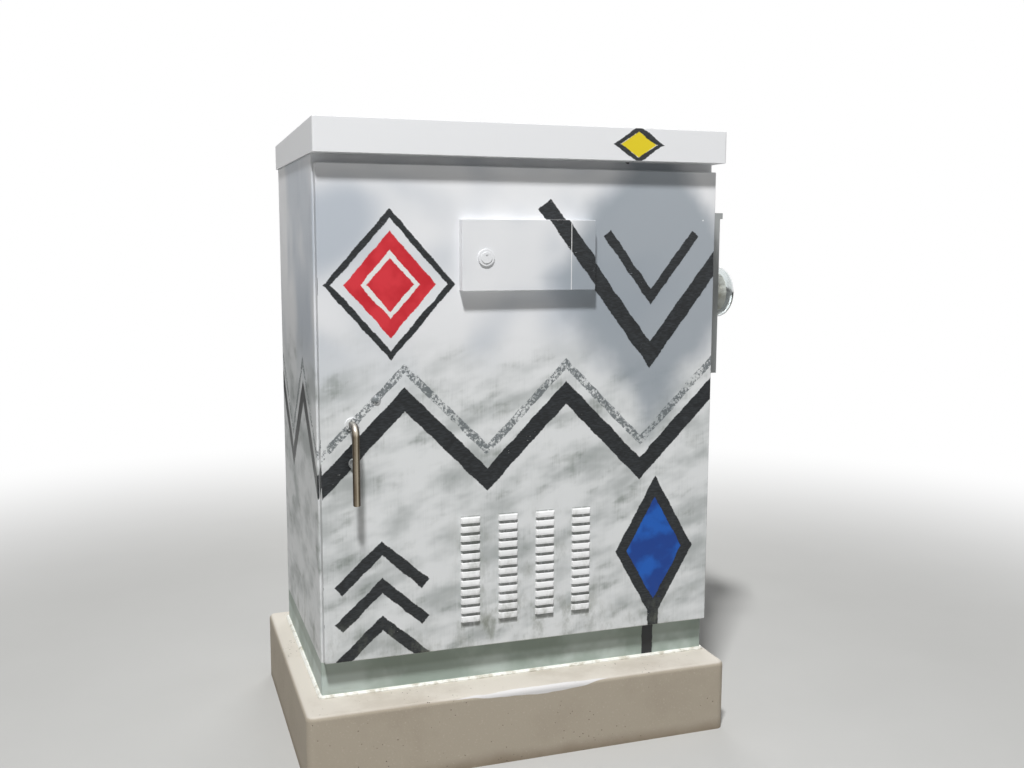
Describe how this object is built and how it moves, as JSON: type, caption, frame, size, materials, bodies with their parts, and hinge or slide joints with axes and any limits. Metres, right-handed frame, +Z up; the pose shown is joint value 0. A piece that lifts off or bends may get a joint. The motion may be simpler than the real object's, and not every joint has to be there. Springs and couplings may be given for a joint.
{
  "type": "roadside utility cabinet",
  "caption": "Upright sheet-metal roadside control cabinet on a concrete plinth, with a hinged front door, louvres, a small service door, a roof overhang and a side meter.",
  "frame": {"origin": "on the plinth's underside, below the middle of the cabinet body", "axes": "+X towards the hinge side, +Y towards the rear, +Z up"},
  "size_m": [1.427, 0.835, 1.694],
  "materials": {
    "hood_paint": "satin",
    "body_paint": "satin",
    "door_paint": "satin",
    "riser_paint": "satin",
    "concrete": "rough",
    "sealant": "matt",
    "gasket_rubber": "matt",
    "zinc": "satin",
    "stainless": "satin",
    "handle_steel": "polished",
    "bare_aluminium": "mill",
    "equipment_paint": "satin",
    "panel_black": "satin",
    "module_plastic": "matt",
    "breaker_plastic": "matt",
    "brass_bar": "satin",
    "filter_media": "matt",
    "meter_grey": "satin",
    "meter_ring_steel": "satin",
    "meter_glass": "clear",
    "register_plastic": "matt",
    "switch_chrome": "bright"
  },
  "bodies": {
    "cabinet": {"concrete_plinth": "concrete", "anchor_studs": "zinc", "anchor_nuts": "zinc", "base_riser": "riser_paint", "base_sealant": "sealant", "riser_bolts": "zinc", "cabinet_body": "body_paint", "roof_hood": "hood_paint", "body_hinge_leaf": "stainless", "hinge_pin": "stainless", "mounting_channels": "bare_aluminium", "upper_shelf": "bare_aluminium", "lower_shelf": "bare_aluminium", "controller_case": "equipment_paint", "controller_panel": "panel_black", "monitor_unit": "module_plastic", "detector_rack": "bare_aluminium", "detector_cards": "module_plastic", "back_panel": "bare_aluminium", "load_switches": "module_plastic", "terminal_strips": "breaker_plastic", "power_panel": "bare_aluminium", "main_breaker": "breaker_plastic", "ground_bar": "brass_bar", "fan_plate": "bare_aluminium", "fan_frame": "module_plastic", "fan_guard": "zinc", "meter_box": "meter_grey", "meter_cover": "meter_grey", "meter_ring": "meter_ring_steel", "meter_glass": "meter_glass", "meter_register": "register_plastic"},
    "door": {"main_door": "door_paint", "door_gasket": "gasket_rubber", "door_hinge_leaf": "stainless", "handle_bushing": "stainless", "rod_guides": "bare_aluminium", "door_lock_barrel": "zinc", "domed_bolt": "door_paint", "service_fixed_leaf": "door_paint", "service_hinge_pin": "stainless", "service_compartment": "bare_aluminium", "switch_plate": "bare_aluminium", "filter_holder": "bare_aluminium", "air_filter": "filter_media"},
    "handle": {"door_handle": "handle_steel", "latch_cam": "zinc"},
    "upper_rod": {"upper_latch_rod": "zinc"},
    "lower_rod": {"lower_latch_rod": "zinc"},
    "door_plug": {"door_lock_plug": "zinc"},
    "service_panel": {"service_door": "door_paint", "service_moving_leaf": "door_paint", "service_lock_barrel": "door_paint"},
    "service_plug": {"service_lock_plug": "zinc"},
    "lock_cover": {"keyhole_cover": "door_paint"},
    "flash_switch": {"flash_toggle": "switch_chrome"},
    "signal_switch": {"signal_toggle": "switch_chrome"},
    "manual_switch": {"manual_toggle": "switch_chrome"},
    "breaker": {"breaker_lever": "breaker_plastic"},
    "fan": {"fan_rotor": "module_plastic"}
  },
  "joints": [
    {"name": "door_swing", "type": "hinge", "parent": "cabinet", "child": "door", "pos_m": [0.552, -0.3365, 0.945], "axis": [0, 0, 1], "range_deg": [0, 120]},
    {"name": "handle_turn", "type": "hinge", "parent": "door", "child": "handle", "pos_m": [-0.473, -0.363, 0.9315], "axis": [0, -1, 0], "range_deg": [0, 90]},
    {"name": "upper_rod_slide", "type": "slide", "parent": "door", "child": "upper_rod", "axis": [0, 0, 1], "range_m": [0, 0.0398]},
    {"name": "lower_rod_slide", "type": "slide", "parent": "door", "child": "lower_rod", "axis": [0, 0, -1], "range_m": [0, 0.0398]},
    {"name": "door_lock_turn", "type": "hinge", "parent": "door", "child": "door_plug", "pos_m": [-0.469, -0.363, 0.831], "axis": [0, -1, 0], "range_deg": [0, 90]},
    {"name": "service_door_swing", "type": "hinge", "parent": "door", "child": "service_panel", "pos_m": [0.1861, -0.3668, 1.3595], "axis": [0, 0, 1], "range_deg": [0, 100]},
    {"name": "service_lock_turn", "type": "hinge", "parent": "service_panel", "child": "service_plug", "pos_m": [-0.124, -0.3905, 1.3535], "axis": [0, 1, 0], "range_deg": [0, 90]},
    {"name": "keyhole_cover_swing", "type": "hinge", "parent": "service_panel", "child": "lock_cover", "pos_m": [-0.124, -0.3905, 1.3635], "axis": [0, -1, 0], "range_deg": [-110, 110]},
    {"name": "flash_switch_tilt", "type": "hinge", "parent": "door", "child": "flash_switch", "pos_m": [-0.0825, -0.3053, 1.3595], "axis": [1, 0, 0], "range_deg": [-14, 14]},
    {"name": "signal_switch_tilt", "type": "hinge", "parent": "door", "child": "signal_switch", "pos_m": [-0.0125, -0.3053, 1.3595], "axis": [1, 0, 0], "range_deg": [-14, 14]},
    {"name": "manual_switch_tilt", "type": "hinge", "parent": "door", "child": "manual_switch", "pos_m": [0.0575, -0.3053, 1.3595], "axis": [1, 0, 0], "range_deg": [-14, 14]},
    {"name": "breaker_tilt", "type": "hinge", "parent": "cabinet", "child": "breaker", "pos_m": [0.4658, 0, 0.68], "axis": [0, 1, 0], "range_deg": [-25, 25]},
    {"name": "fan_spin", "type": "hinge", "parent": "cabinet", "child": "fan", "pos_m": [0.18, 0, 1.61], "axis": [0, 0, 1], "continuous": true}
  ],
  "couplings": [
    {"joint": "upper_rod_slide", "follows": "handle_turn", "m_per_rad": 0.025209},
    {"joint": "lower_rod_slide", "follows": "handle_turn", "m_per_rad": 0.025209}
  ]
}
